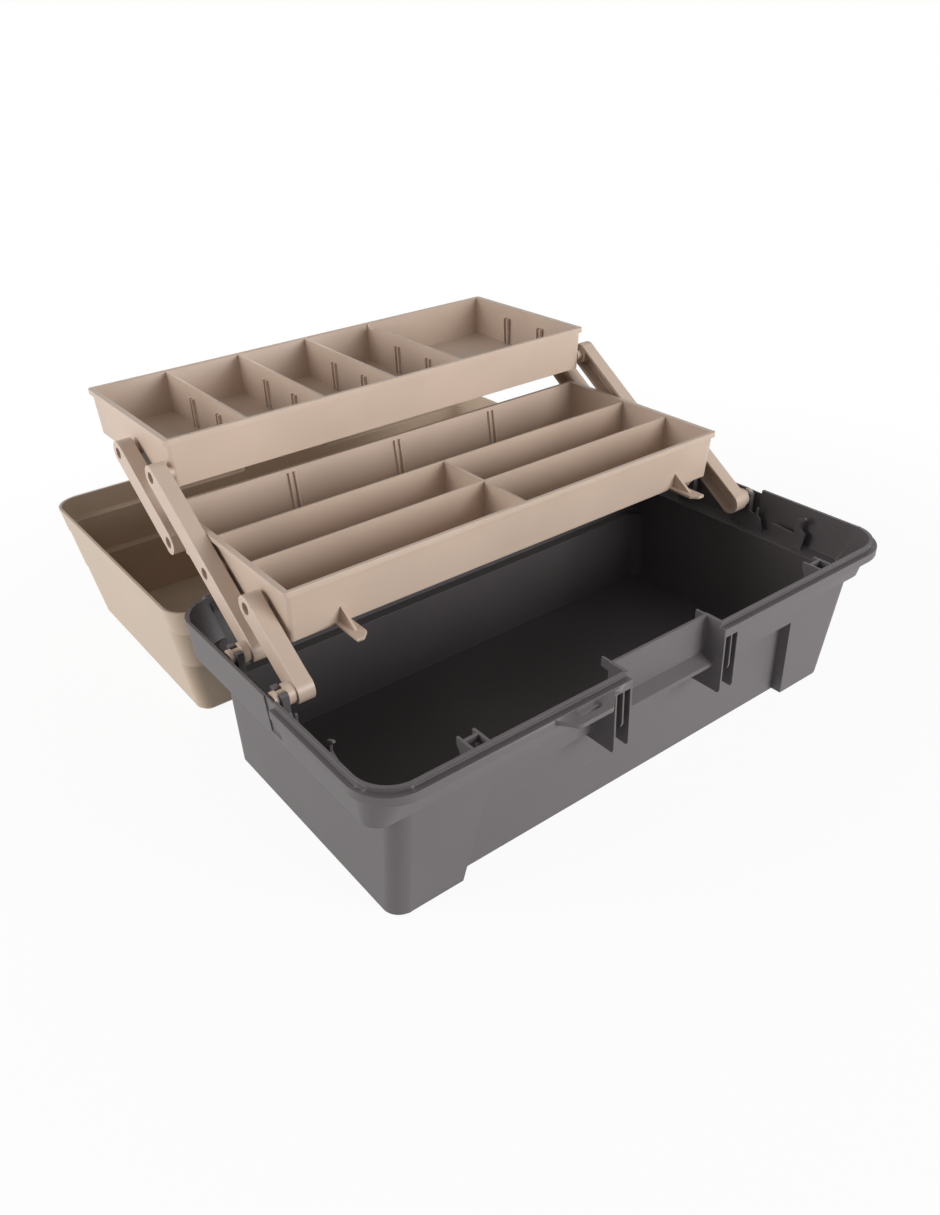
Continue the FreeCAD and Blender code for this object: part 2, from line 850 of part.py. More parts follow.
def make_arm_clip(index, pivot):
    """A post on the end shelf with a round seat for an arm's pin and a narrower mouth above."""
    inner = s.arm_outer_face + s.arm_boss_length + s.side_gap
    outer = inner + s.clip_wall
    top = s.pivot_height + s.clip_head
    post = box(
        f"clip_post_{index}", (inner, outer),
        (pivot - s.clip_half_width, pivot + s.clip_half_width), (s.ledge_height, top),
    )
    seat_x = (inner - s.overrun, outer + s.overrun)
    seat = rod(f"clip_seat_{index}", s.arm_pin_radius + s.running_gap, seat_x, pivot,
               s.pivot_height)
    mouth = box(
        f"clip_mouth_{index}", seat_x,
        (pivot - s.clip_mouth_half, pivot + s.clip_mouth_half),
        (s.pivot_height, top + s.overrun),
    )
    return cut(f"clip_{index}", post, seat, mouth)


def make_catch():
    """The thin hook plate and the tray catch that stand along the shelf before the clip."""
    inner = s.arm_outer_face + s.arm_boss_length + s.side_gap
    start = pivots[0] - s.clip_half_width
    plates = []
    for name, shares in (("hook", CATCH_HOOK_SHARES), ("wall", CATCH_WALL_SHARES)):
        points = [
            (start - s.catch_length * along, s.ledge_height + s.catch_height * up)
            for along, up in shares
        ]
        plates.append(prism(polygon(f"catch_{name}", points, "YZ", inner), s.catch_wall, "YZ"))
    return plates


def knuckle_bounds():
    """The bounds along X of the two tub knuckles of one hinge."""
    inner = s.lid_knuckle_half_width + s.side_gap
    outer = inner + s.tub_knuckle_width
    return (
        (s.hinge_middle - outer, s.hinge_middle - inner),
        (s.hinge_middle + inner, s.hinge_middle + outer),
    )


def make_tub_knuckle(index, x):
    """A hinge barrel on a web that grows out of the rear wall."""
    root = between(
        s.band_half_depth, s.rim_half_depth, s.ledge_height, s.tub_height,
        s.hinge_height - s.knuckle_web_drop,
    ) - s.tub_wall * CENTRE_SHARE
    web = prism(
        polygon(f"tub_knuckle_web_{index}", (
            (root, s.hinge_height - s.knuckle_web_drop),
            (s.hinge_setback, s.hinge_height - s.knuckle_radius),
            (s.hinge_setback, s.hinge_height),
            (s.hinge_setback - s.knuckle_radius, s.hinge_height + s.knuckle_web_top),
            (root, s.hinge_height + s.knuckle_web_top),
        ), "YZ", x[0]),
        x[1] - x[0],
        "YZ",
    )
    barrel = rod(f"tub_barrel_{index}", s.knuckle_radius, x, s.hinge_setback, s.hinge_height)
    return fuse(f"tub_knuckle_{index}", web, barrel)


def make_end_groove():
    """A shallow upright groove outside the end wall, just behind the end of the bead."""
    top = s.tub_height - s.rear_rim_drop
    bottom = top - s.end_groove_height

    def face(height):
        return between(
            s.band_half_length, s.rim_half_length, s.ledge_height, s.tub_height, height
        ) - s.end_groove_depth

    outside = bead_half_length + s.overrun
    outline = polygon("end_groove", (
        (face(bottom), bottom), (outside, bottom), (outside, top), (face(top), top),
    ), "XZ", -s.bead_end_setback)
    return prism(outline, s.end_groove_width, "XZ")


def make_base_tub():
    """The tub with all that is moulded in one piece with it."""
    wall = s.tub_wall
    over = s.overrun
    shell = cut("tub_shell", make_tub_outside(), make_tub_inside())
    recess = make_front_recess(
        "front_recess", s.front_recess_foot_half, s.front_recess_top_half,
        s.front_recess_height, s.front_recess_depth, 0,
    )
    bay = box(
        "latch_bay", (-s.bay_half_width, s.bay_half_width),
        (-bead_half_depth - over, -panel_reach), (s.ledge_height, s.tub_height + over),
    )
    rear_rim = box(
        "rear_rim_step", (-bead_half_length - over, bead_half_length + over),
        (-s.bead_end_setback, bead_half_depth + over),
        (s.tub_height - s.rear_rim_drop, s.tub_height + over),
    )
    groove = make_end_groove()
    hasp_plate, hasp_hole = make_hasp("tub_hasp", bead_top - s.hasp_thickness - s.side_gap)
    fin_x = (s.bay_half_width, s.bay_half_width + s.bay_fin_wall)
    fin = box(
        "bay_fin", fin_x, (-panel_reach, s.bay_fin_length + wall - panel_reach),
        (s.tub_height - s.bay_fin_height, s.tub_height),
    )
    open_shell = cut("open_tub_shell", shell, recess, bay, rear_rim, *on_both_ends(groove))
    clips = [make_arm_clip(index, pivot) for index, pivot in enumerate(pivots)]
    knuckles = [make_tub_knuckle(index, x) for index, x in enumerate(knuckle_bounds())]
    added = on_both_ends(
        fin, make_tray_rest(), *make_ear_webs(), *make_catch(), *clips, *knuckles
    )
    whole = fuse("tub_with_fittings", open_shell, make_keeper(), hasp_plate, *added)
    bore_x = (knuckle_bounds()[0][0] - over, knuckle_bounds()[1][1] + over)
    pin_bore = rod("tub_pin_bore", s.hinge_pin_radius, bore_x, s.hinge_setback, s.hinge_height)
    tub = cut("base_tub_solid", whole, hasp_hole, *on_both_ends(pin_bore))
    tub.Label = "base_tub"
    return tub


def make_lid_tiers(name, inset, down):
    """The lid's three stepped tiers from rim to top, moved inwards and down for its inside."""
    tiers = (
        (as_size(0), s.first_wall_top, s.first_wall_draft),
        (s.first_wall_top, s.second_wall_top, s.second_wall_draft),
        (s.second_wall_top, s.lid_height, s.third_wall_draft),
    )
    top_half_length = s.lid_half_length - s.lid_end_draft
    depth = s.rim_half_depth
    blocks = []
    for index, (low, high, draft) in enumerate(tiers):
        foot_length, top_length = (
            between(s.lid_half_length, top_half_length, as_size(0), s.lid_height, rise)
            for rise in (low, high)
        )
        foot = low - down if index else low
        blocks.append(tapered(
            f"{name}_tier_{index}", s.lid_corner - s.lid_corner_step * index,
            (foot_length, depth, depth, lid_rim + foot),
            (top_length, depth - draft, depth - draft, lid_rim + high - down),
            inset,
        ))
        depth = depth - draft - s.lid_step
    return fuse(name, *blocks)


def make_lid():
    """The stepped lid, drawn as it lies shut on the tub and then turned open on its hinges."""
    wall = s.lid_wall
    over = s.overrun
    outside = make_lid_tiers("lid_outside", as_size(0), as_size(0))
    crown = soften_edges(
        "Chamfer", "lid_crown_slope", outside, s.lid_crown,
        lambda edge: is_level(edge)
        and abs(edge.CenterOfMass.z - lid_top.value) < s.side_gap.value,
    )
    inside = make_lid_tiers("lid_inside", wall, wall)
    recess_x = (-s.recess_half_length, s.recess_half_length)
    recess_y = (-s.recess_half_depth, s.recess_half_depth)
    recess_floor = lid_top - s.recess_depth
    pan = prism(
        rounded("recess_pan", (recess_x[0] - wall, recess_x[1] + wall),
                (recess_y[0] - wall, recess_y[1] + wall), s.recess_corner + wall,
                at=recess_floor - wall),
        s.recess_depth + wall,
    )
    recess = prism(
        rounded("handle_recess", recess_x, recess_y, s.recess_corner, at=recess_floor),
        s.recess_depth + over,
    )
    bay_back = box(
        "lid_bay_back", (-s.bay_half_width - wall, s.bay_half_width + wall),
        (-s.rim_half_depth - over, s.lid_bay_depth + wall - s.rim_half_depth),
        (lid_rim - over, lid_rim + s.first_wall_top + wall),
    )
    bay = box(
        "lid_bay", (-s.bay_half_width, s.bay_half_width),
        (-s.rim_half_depth - over, s.lid_bay_depth - s.rim_half_depth),
        (lid_rim - over, lid_rim + s.first_wall_top),
    )
    space = cut("lid_space", inside, pan, bay_back)
    hasp_plate, hasp_hole = make_hasp("lid_hasp", lid_rim)
    shell = cut("lid_shell", fuse("lid_with_tab", crown, hasp_plate), space, recess, bay,
                hasp_hole)
    knuckle_x = (s.hinge_middle - s.lid_knuckle_half_width,
                 s.hinge_middle + s.lid_knuckle_half_width)
    web = prism(
        polygon("lid_knuckle_web", (
            (s.hinge_setback - s.knuckle_radius, s.hinge_height),
            (s.hinge_setback + s.knuckle_radius, s.hinge_height),
            (s.hinge_setback + s.knuckle_radius, lid_rim),
            (s.rim_half_depth - wall * CENTRE_SHARE, lid_rim + s.knuckle_web_drop),
            (s.rim_half_depth - wall * CENTRE_SHARE, lid_rim),
            (s.hinge_setback - s.knuckle_radius, lid_rim),
        ), "YZ", knuckle_x[0]),
        s.lid_knuckle_half_width * 2,
        "YZ",
    )
    barrel = rod("lid_barrel", s.knuckle_radius, knuckle_x, s.hinge_setback, s.hinge_height)
    bore = rod("lid_pin_bore", s.hinge_pin_radius + s.running_gap,
               (knuckle_x[0] - over, knuckle_x[1] + over), s.hinge_setback, s.hinge_height)
    whole = fuse("lid_with_knuckles", shell, *on_both_ends(web, barrel))
    latch_bore = rod(
        "latch_pin_hole", s.latch_pin_radius,
        (-s.bay_half_width - wall, s.bay_half_width + wall),
        -s.latch_pivot_reach, s.latch_pivot_height,
    )
    trunnion_bore = rod(
        "trunnion_hole", s.handle_trunnion_radius + s.running_gap,
        (recess_x[0] - wall - over, recess_x[1] + wall + over),
        -s.handle_pivot_setback, handle_pivot_height(),
    )
    lid = cut("lid_solid", whole, latch_bore, trunnion_bore, *on_both_ends(bore))
    lid.Label = "lid"
    return open_with_lid(lid)


def handle_pivot_height():
    return lid_top - s.handle_sink - s.handle_thickness * CENTRE_SHARE


def open_with_lid(item):
    """Turns a piece that was drawn on the shut lid to its place on the open one."""
    return place(item, 0, s.hinge_setback * 2, s.hinge_height * 2, s.lid_opening)


def make_hinge_pin():
    """A steel pin through one hinge, with a flat head at each end."""
    outer = s.lid_knuckle_half_width + s.side_gap + s.tub_knuckle_width
    x = (s.hinge_middle - outer, s.hinge_middle + outer)
    shank = rod("pin_shank", s.hinge_pin_radius, x, s.hinge_setback, s.hinge_height)
    heads = [
        rod(f"pin_head_{index}", s.hinge_pin_head_radius, (at, at + s.hinge_pin_head),
            s.hinge_setback, s.hinge_height)
        for index, at in enumerate((x[0] - s.hinge_pin_head, x[1]))
    ]
    return fuse("hinge_pin", shank, *heads)


def make_latch():
    """The latch drawn flipped up on the shut lid: barrel, plate, hook and finger lip."""
    half = s.latch_width * CENTRE_SHARE
    x = (-half, half)
    y, z = -s.latch_pivot_reach, s.latch_pivot_height
    half_plate = s.latch_plate * CENTRE_SHARE
    hook_outer = s.latch_hook_radius + s.latch_hook_wall
    barrel = rod("latch_barrel_round", s.latch_barrel, x, y, z)
    plate = box("latch_plate_box", x, (y - half_plate, y + half_plate), (z, z + hook_outer))
    ring = cut(
        "hook_ring",
        rod("hook_outer_round", hook_outer, x, y, z),
        rod("hook_inner_round", s.latch_hook_radius,
            (x[0] - s.overrun, x[1] + s.overrun), y, z),
    )
    hook_zone = box(
        "hook_zone", (x[0] - s.overrun, x[1] + s.overrun),
        (y - half_plate - s.latch_hook_inward, y + half_plate), (z, z + hook_outer + s.overrun),
    )
    hook = common("latch_hook", ring, hook_zone)
    lip = box(
        "latch_lip_box", x, (y, y + half_plate + s.latch_lip),
        (z + s.latch_hook_radius - s.latch_lip_height * CENTRE_SHARE,
         z + s.latch_hook_radius + s.latch_lip_height * CENTRE_SHARE),
    )
    whole = fuse("latch_whole", barrel, plate, hook, lip)
    bore = rod("latch_bore", s.latch_pin_radius + s.running_gap,
               (x[0] - s.overrun, x[1] + s.overrun), y, z)
    latch = cut("latch_solid", whole, bore)
    latch.Label = "latch"
    return open_with_lid(latch)


def make_latch_pin():
    """The steel pin that carries the latch between the cheeks of the lid's bay."""
    reach = s.bay_half_width + s.lid_wall
    pin = rod(
        "latch_pin_round", s.latch_pin_radius, (-reach, reach),
        s.hinge_setback * 2 + s.latch_pivot_reach, s.hinge_height * 2 - s.latch_pivot_height,
    )
    pin.Label = "latch_pin"
    return pin


def make_handle():
    """The bail handle, drawn folded flat in the recess of the shut lid."""
    pivot_y = -s.handle_pivot_setback
    half = s.recess_half_length - s.handle_side_gap
    low = handle_pivot_height() - s.handle_thickness * CENTRE_SHARE
    outline = prism(
        rounded("handle_outline", (-half, half),
                (pivot_y - s.handle_tail, pivot_y + s.handle_reach), s.handle_corner, at=low),
        s.handle_thickness,
    )
    finger_room = prism(
        rounded("handle_fingers", (s.handle_arm_width - half, half - s.handle_arm_width),
                (pivot_y - s.handle_tail - s.handle_corner * 2,
                 pivot_y + s.handle_reach - s.handle_grip_depth),
                s.handle_finger_corner, at=low - s.overrun),
        s.handle_thickness + s.overrun * 2,
    )
    bail = cut("handle_bail", outline, finger_room)
    soft_bail = soften_edges("Chamfer", "handle_soft_bail", bail, s.handle_edge, is_level)
    end = s.recess_half_length + s.lid_wall + s.handle_trunnion_end
    inner = half - s.handle_arm_width * CENTRE_SHARE
    trunnion = rod("handle_trunnion", s.handle_trunnion_radius, (inner, end), pivot_y,
                   handle_pivot_height())
    handle = fuse("handle_solid", soft_bail, *on_both_ends(trunnion))
    handle.Label = "handle"
    return open_with_lid(handle)


def last_feature(body, kind, name, outline, length, back=False):
    """A pad or a pocket of an outline, with the body's tip on it."""
    item = body.newObject(f"PartDesign::{kind}", name)
    item.Profile = outline
    item.setExpression("Length", as_size(length).text)
    item.Reversed = back
    body.Tip = item
    return item


def make_arm(name, reach, holes, on_tub):
    """One arm along Y from its lower pivot: a channel with round ends, bosses and pivots."""
    body = doc.addObject("PartDesign::Body", name + "_body")
    thickness = s.arm_outer_face - s.arm_inner_face
    blank = link_outline(name + "_outline", 0, reach, s.arm_half_width, s.arm_inner_face, body)
    last_feature(body, "Pad", name + "_blank", blank, thickness)
    doc.recompute()
    solid_volume = body.Shape.Volume
    hollow = link_outline(
        name + "_hollow", 0, reach, s.arm_half_width - s.arm_wall, s.arm_inner_face, body
    )
    last_feature(body, "Pocket", name + "_channel", hollow, thickness - s.arm_web, back=True)
    doc.recompute()
    assert body.Shape.Volume < solid_volume
    eye_radius = s.arm_half_width - s.arm_wall * CENTRE_SHARE
    for index, hole in enumerate(holes):
        ring = round_outline(f"{name}_boss_{index}", hole, eye_radius, s.arm_inner_face, body)
        last_feature(body, "Pad", f"{name}_eye_{index}", ring, thickness)
    for index, hole in enumerate(holes):
        bore = round_outline(
            f"{name}_bore_{index}", hole, s.arm_hole_radius, s.arm_inner_face, body
        )
        last_feature(body, "Pocket", f"{name}_hole_{index}", bore, thickness, back=True)
    if on_tub:
        half_web = s.arm_web * CENTRE_SHARE
        hub = round_outline(name + "_hub", as_size(0), s.arm_boss_radius,
                            s.arm_outer_face - half_web, body)
        last_feature(body, "Pad", name + "_boss", hub, s.arm_boss_length + half_web)
        clip_outer = s.arm_outer_face + s.arm_boss_length + s.side_gap + s.clip_wall
        shaft = round_outline(name + "_shaft", as_size(0), s.arm_pin_radius,
                              s.arm_outer_face, body)
        last_feature(body, "Pad", name + "_pin", shaft, s.arm_pin_end - s.arm_outer_face)
        head = round_outline(name + "_head", as_size(0), s.arm_pin_head_radius,
                             clip_outer + s.side_gap, body)
        last_feature(body, "Pad", name + "_pin_head", head,
                     s.arm_pin_end - clip_outer - s.side_gap)
    body.Label = name + "_right"
    return body


def make_tray_shell(name, half_length, half_depth, height, draft, end_draft, dividers):
    """A drafted tray with a lip round its rim, hollow but for its dividers."""
    end_face = half_length - s.end_lip
    front_face = half_depth - s.front_lip
    foot = (end_face - end_draft, front_face - draft, front_face - draft)
    rim = (end_face, front_face, front_face, 0)
    outside = tapered(name + "_outside", s.tray_corner, (*foot, -height), rim)
    lip = prism(
        tub_section(name + "_lip", half_length, half_depth, half_depth, s.tray_corner,
                    -s.lip_height),
        s.lip_height,
    )
    wall = s.tray_wall
    inside = tapered(name + "_inside", s.tray_corner, (*foot, s.tray_floor - height), rim, wall)
    cells = cut(name + "_cells", inside, *dividers)
    above = box(
        name + "_above_dividers", (wall - end_face, end_face - wall),
        (wall - front_face, front_face - wall), (-s.divider_drop, s.overrun),
    )
    return cut(name + "_shell", fuse(name + "_solid_tray", outside, lip), cells, above)


def make_slot_ribs(name, x, y_wall, y_free, drop, height):
    """Two upright ribs on a wall across the box that hold a loose divider between them."""
    ribs = []
    bottom = s.tray_floor * CENTRE_SHARE - height
    for side, low in (("near", -s.slot_half_gap - s.slot_rib_wall), ("far", s.slot_half_gap)):
        outline = polygon(f"{name}_{side}", (
            (y_free[0], -drop), (y_wall[0], -drop), (y_wall[1], bottom),
            (y_free[1], bottom),
        ), "YZ", x + low)
        ribs.append(prism(outline, s.slot_rib_wall, "YZ"))
    return ribs


def make_studs(name, end_face, places, drop):
    """Hollow round studs on the tray's right end, one in each arm's eye."""
    end = s.arm_outer_face - s.stud_recess
    root = end_face - s.tray_wall
    studs = []
    bores = []
    for index, at in enumerate(places):
        studs.append(rod(f"{name}_stud_{index}", stud_radius, (root, end), at, -drop))
        bores.append(rod(f"{name}_stud_bore_{index}", s.stud_bore_radius,
                         (end_face + s.tray_wall, end + s.overrun), at, -drop))
    return studs, bores


def make_lower_tray():
    """The lower tray: a long rear row and two front rows that are split in the middle."""
    half_length, half_depth, height = s.lower_half_length, s.lower_half_depth, s.lower_height
    half_wall = s.divider_wall * CENTRE_SHARE
    span = (-half_length, half_length)
    deep = (-height, s.overrun)
    rear_line, front_line = s.rear_row_line, -s.front_row_line
    dividers = [
        box("rear_row_divider", span, (rear_line - half_wall, rear_line + half_wall), deep),
        box("front_row_divider", span, (front_line - half_wall, front_line + half_wall), deep),
        box("cross_divider", (-half_wall, half_wall), (-half_depth, rear_line), deep),
    ]
    shell = make_tray_shell("lower", half_length, half_depth, height, s.lower_draft,
                            s.lower_end_draft, dividers)
    front_face = half_depth - s.front_lip
    wall_inside = front_face - s.tray_wall
    foot_inside = wall_inside - s.lower_draft
    ribs = []
    for index, share in enumerate((-CENTRE_SHARE, 0, CENTRE_SHARE)):
        x = half_length * share
        ribs += make_slot_ribs(
            f"rear_slot_{index}", x,
            (wall_inside + half_wall, foot_inside + half_wall),
            (wall_inside - s.slot_rib_depth, foot_inside - s.slot_rib_depth),
            s.lower_slot_drop, height,
        )
        free = rear_line + half_wall + s.slot_rib_depth
        ribs += make_slot_ribs(f"row_slot_{index}", x, (rear_line, rear_line), (free, free),
                               s.lower_slot_drop, height)
    front_foot = s.lower_draft - front_face
    tip = front_foot - s.foot_reach
    inner, outer = s.foot_middle - s.foot_half_width, s.foot_middle + s.foot_half_width
    plate = prism(
        polygon("foot_plate_outline", (
            (inner, front_foot + s.tray_wall), (inner, tip + s.foot_tip_bevel),
            (inner + s.foot_tip_bevel, tip), (outer, tip), (outer, front_foot + s.tray_wall),
        ), at=-height),
        s.foot_plate,
    )
    gusset = prism(
        polygon("foot_gusset_outline", (
            (front_foot + s.tray_wall, -height), (front_foot - s.foot_gusset_reach, -height),
            (front_foot - s.foot_gusset_reach, s.foot_plate - height),
            (front_foot, s.foot_gusset_height - height),
            (front_foot + s.tray_wall, s.foot_gusset_height - height),
        ), "YZ", s.foot_middle - s.foot_gusset_wall * CENTRE_SHARE),
        s.foot_gusset_wall,
        "YZ",
    )
    first = -s.lower_pivot_setback
    places = (first, first + s.pivot_spacing, first + s.pivot_spacing * 2)
    studs, bores = make_studs("lower", half_length - s.end_lip, places, s.lower_pivot_drop)
    whole = fuse("lower_tray_whole", shell, *ribs, *on_both_ends(plate, gusset, *studs))
    tray = cut("lower_tray_solid", whole, *on_both_ends(*bores))
    tray.Label = "lower_tray"
    return place(tray, 0, lower_middle, lower_rim)


def make_upper_tray():
    """The upper tray: four cross dividers, with the space of a fifth left out on the right."""
    half_length, half_depth, height = s.upper_half_length, s.upper_half_depth, s.upper_height
    half_wall = s.divider_wall * CENTRE_SHARE
    lines = [s.cell_pitch * number for number in (-2, -1, 0, 1)]
    across = (-half_depth, half_depth)
    dividers = [
        box(f"upper_divider_{index}", (line - half_wall, line + half_wall), across,
            (-height, s.overrun))
        for index, line in enumerate(lines)
    ]
    shell = make_tray_shell("upper", half_length, half_depth, height, s.upper_draft,
                            s.upper_end_draft, dividers)
    end_face = half_length - s.end_lip
    end_inside = end_face - s.tray_wall - s.upper_end_draft
    faces = [(line, side) for line in lines for side in (-1, 1)]
    faces += [(end_inside, -1), (-end_inside, 1)]
    inside_depth = half_depth - s.front_lip - s.tray_wall - s.upper_draft
    bottom = s.tray_floor * CENTRE_SHARE - height
    ribs = []
    for index, (line, side) in enumerate(faces):
        reach = line + (half_wall + s.slot_rib_depth) * side
        low, high = (reach, line) if side < 0 else (line, reach)
        for number, share in enumerate((-THIRD_SHARE, THIRD_SHARE)):
            middle = inside_depth * share
            for edge, offset in (("near", -s.slot_half_gap - s.slot_rib_wall),
                                 ("far", s.slot_half_gap)):
                start = middle + offset
                ribs.append(box(
                    f"upper_slot_{index}_{number}_{edge}", (low, high),
                    (start, start + s.slot_rib_wall), (bottom, -s.upper_slot_drop),
                ))
    first = -s.upper_pivot_setback
    studs, bores = make_studs(
        "upper", end_face, (first, first + s.pivot_spacing), s.upper_pivot_drop
    )
    notch = rod(
        "thumb_notch", s.thumb_notch_radius, (lines[3] - s.overrun, lines[3] + s.overrun),
        inside_depth - s.thumb_notch_radius, as_size(0),
    )
    whole = fuse("upper_tray_whole", shell, *ribs, *on_both_ends(*studs))
    tray = cut("upper_tray_solid", whole, notch, *on_both_ends(*bores))
    tray.Label = "upper_tray"
    return place(tray, 0, upper_middle, upper_rim)


def make_arms():
    """The three pairs of arms, each right arm with its mirror image on the left end."""
    low = s.lower_reach
    arms = (
        ("front_arm", low, (low,), True, (pivots[0], s.pivot_height)),
        ("long_arm", arm_reach, (low, arm_reach), True, (pivots[1], s.pivot_height)),
        ("rear_link", s.upper_reach, (as_size(0), s.upper_reach), False,
         (lower_front[0] + s.pivot_spacing * 2, lower_front[1])),
    )
    pieces = []
    for name, reach, holes, on_tub, (y, z) in arms:
        right = make_arm(name, reach, holes, on_tub)
        place(right, 0, y, z, s.arm_tilt)
        pieces += [right, mirrored(right, name + "_left")]
    return pieces


pin_right = make_hinge_pin()
pin_right.Label = "hinge_pin_right"
pieces = [
    make_base_tub(), make_lid(), pin_right, mirrored(pin_right, "hinge_pin_left"),
    make_latch(), make_latch_pin(), make_handle(), make_lower_tray(), make_upper_tray(),
    *make_arms(),
]
doc.recompute()

for item in doc.Objects:
    if "Invalid" in item.State or "Error" in item.State:
        raise RuntimeError(f"{item.Name} failed: {item.State}")
for piece in pieces:
    shape = piece.Shape
    if shape.isNull() or not shape.isValid() or len(shape.Solids) != 1:
        raise RuntimeError(f"{piece.Label} isn't one valid solid: {len(shape.Solids)}")

os.makedirs("parts", exist_ok=True)
for piece in pieces:
    piece.Shape.exportStep(f"parts/{piece.Label}.step")
    print(piece.Label, round(piece.Shape.Volume), len(piece.Shape.Faces))
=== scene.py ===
# %% [markdown]
# A cantilever tackle box stands open on a pale studio floor. The tub is dark grey, and the
# lid, the two trays and their arms are tan. Every piece is injection-moulded polypropylene
# apart from the steel pins of the hinges and the latch. Lengths in this lesson are metres.

import json
import math

import bmesh
import bpy
from mathutils import Matrix, Vector
from mathutils.geometry import intersect_point_line


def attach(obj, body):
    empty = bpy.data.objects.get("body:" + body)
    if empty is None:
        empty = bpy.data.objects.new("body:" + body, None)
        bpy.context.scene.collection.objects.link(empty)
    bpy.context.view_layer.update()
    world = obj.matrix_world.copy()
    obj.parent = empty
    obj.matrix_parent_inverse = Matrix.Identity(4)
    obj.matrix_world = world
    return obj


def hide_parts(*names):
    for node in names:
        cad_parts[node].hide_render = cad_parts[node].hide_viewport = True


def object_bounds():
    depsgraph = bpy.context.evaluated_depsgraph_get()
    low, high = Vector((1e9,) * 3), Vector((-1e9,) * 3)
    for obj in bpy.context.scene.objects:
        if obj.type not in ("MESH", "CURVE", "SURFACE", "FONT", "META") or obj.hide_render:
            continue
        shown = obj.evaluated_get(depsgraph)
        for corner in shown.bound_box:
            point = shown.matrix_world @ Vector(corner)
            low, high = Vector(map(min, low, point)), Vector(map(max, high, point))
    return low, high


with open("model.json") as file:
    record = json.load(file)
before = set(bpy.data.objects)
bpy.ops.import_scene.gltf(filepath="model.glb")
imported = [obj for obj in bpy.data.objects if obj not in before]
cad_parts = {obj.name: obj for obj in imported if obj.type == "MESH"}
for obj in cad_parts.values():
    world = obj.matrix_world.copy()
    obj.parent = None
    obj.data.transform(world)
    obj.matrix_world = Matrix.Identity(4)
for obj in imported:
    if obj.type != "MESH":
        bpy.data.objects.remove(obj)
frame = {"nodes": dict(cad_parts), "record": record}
cad_low, cad_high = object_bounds()
scene = bpy.context.scene
MM = 0.001
print("The box measures", [round(side / MM) for side in cad_high - cad_low], "mm")

# %% [markdown]
# The camera stands where the photographer stood: to the left of the front, at chest height
# above a table, with a slight tilt. A camera's axes are the columns of a rotation: its right
# hand, its up, and the way back from what it looks at. They come from three plain angles in
# radians. The lens is worked out for a sensor of 36 mm along the picture's longer side, which
# is its height.

# %% Place the camera
FRAME_HEIGHT_PIXELS = 1215
FOCAL_PIXELS = 1024.881
SENSOR_MILLIMETRES = 36
CAMERA_PLACE = Vector((-405.711, -470.623, 464.649)) * MM
CAMERA_YAW = 0.631
CAMERA_PITCH = 0.543
CAMERA_ROLL = -0.043


def camera_turn(yaw, pitch, roll):
    """A rotation whose columns are right, up and back, for a view turned by yaw to the
    right of +Y, by pitch downwards and then by roll about its own line of sight."""
    ahead = Vector((math.sin(yaw) * math.cos(pitch),
                    math.cos(yaw) * math.cos(pitch), -math.sin(pitch)))
    level = Vector((math.cos(yaw), -math.sin(yaw), 0))
    above = level.cross(ahead)
    right = math.cos(roll) * level + math.sin(roll) * above
    up = math.cos(roll) * above - math.sin(roll) * level
    return Matrix((right, up, -ahead)).transposed()


lens = bpy.data.cameras.new("photo_camera")
lens.sensor_width = SENSOR_MILLIMETRES
lens.lens = SENSOR_MILLIMETRES * FOCAL_PIXELS / FRAME_HEIGHT_PIXELS
camera = bpy.data.objects.new("photo_camera", lens)
camera.matrix_world = Matrix.Translation(CAMERA_PLACE) @ camera_turn(
    CAMERA_YAW, CAMERA_PITCH, CAMERA_ROLL).to_4x4()
scene.collection.objects.link(camera)
scene.camera = camera
print("The lens is", round(lens.lens, 1), "mm long")

# %% [markdown]
# Colours are picked on a screen as hex values, but a shader works with linear light. One
# function turns the first into the second. A second one adds a shader node together with
# its settings, the values of its sockets and its incoming links, so that each material
# below reads as a list of what it is made of. A Mix node for colours shares its socket names
# with its other kinds, so those sockets go by number. The last function tells rays apart by
# their kind, such as those that leave the camera and those in reflections.

# %% Colour and node helpers
MIX_SHARE, MIX_FIRST, MIX_SECOND = 0, 6, 7
MIX_RESULT = 2


def linear(hex_colour):
    """The linear colour of an sRGB hex value: below 0.04045 it is divided by 12.92, above
    it is raised to the power 2.4 after an offset of 0.055."""
    shares = [int(hex_colour[at:at + 2], 16) / 255 for at in (1, 3, 5)]
    return [c / 12.92 if c <= 0.04045 else ((c + 0.055) / 1.055) ** 2.4 for c in shares] + [1]


def add_node(tree, kind, values=None, links=None, **settings):
    """A node of that kind with its settings, socket values and links from other sockets."""
    node = tree.nodes.new(kind)
    for name, value in settings.items():
        setattr(node, name, value)
    for socket, value in (values or {}).items():
        node.inputs[socket].default_value = value
    for socket, source in (links or {}).items():
        tree.links.new(source, node.inputs[socket])
    return node


def empty_material(name):
    """A material whose tree holds no node yet, and that tree."""
    material = bpy.data.materials.new(name)
    material.use_nodes = True
    material.node_tree.nodes.clear()
    return material, material.node_tree


def rays_of(tree, first, *others):
    """A socket that is 1 for rays of any of these kinds, and 0 for all other rays."""
    path = add_node(tree, "ShaderNodeLightPath")
    seen = path.outputs[f"Is {first} Ray"]
    for kind in others:
        seen = add_node(tree, "ShaderNodeMath", operation="MAXIMUM",
                        links={0: seen, 1: path.outputs[f"Is {kind} Ray"]}).outputs[0]
    return seen


print("The middle grey #808080 is", round(linear("#808080")[0], 3), "in linear light")

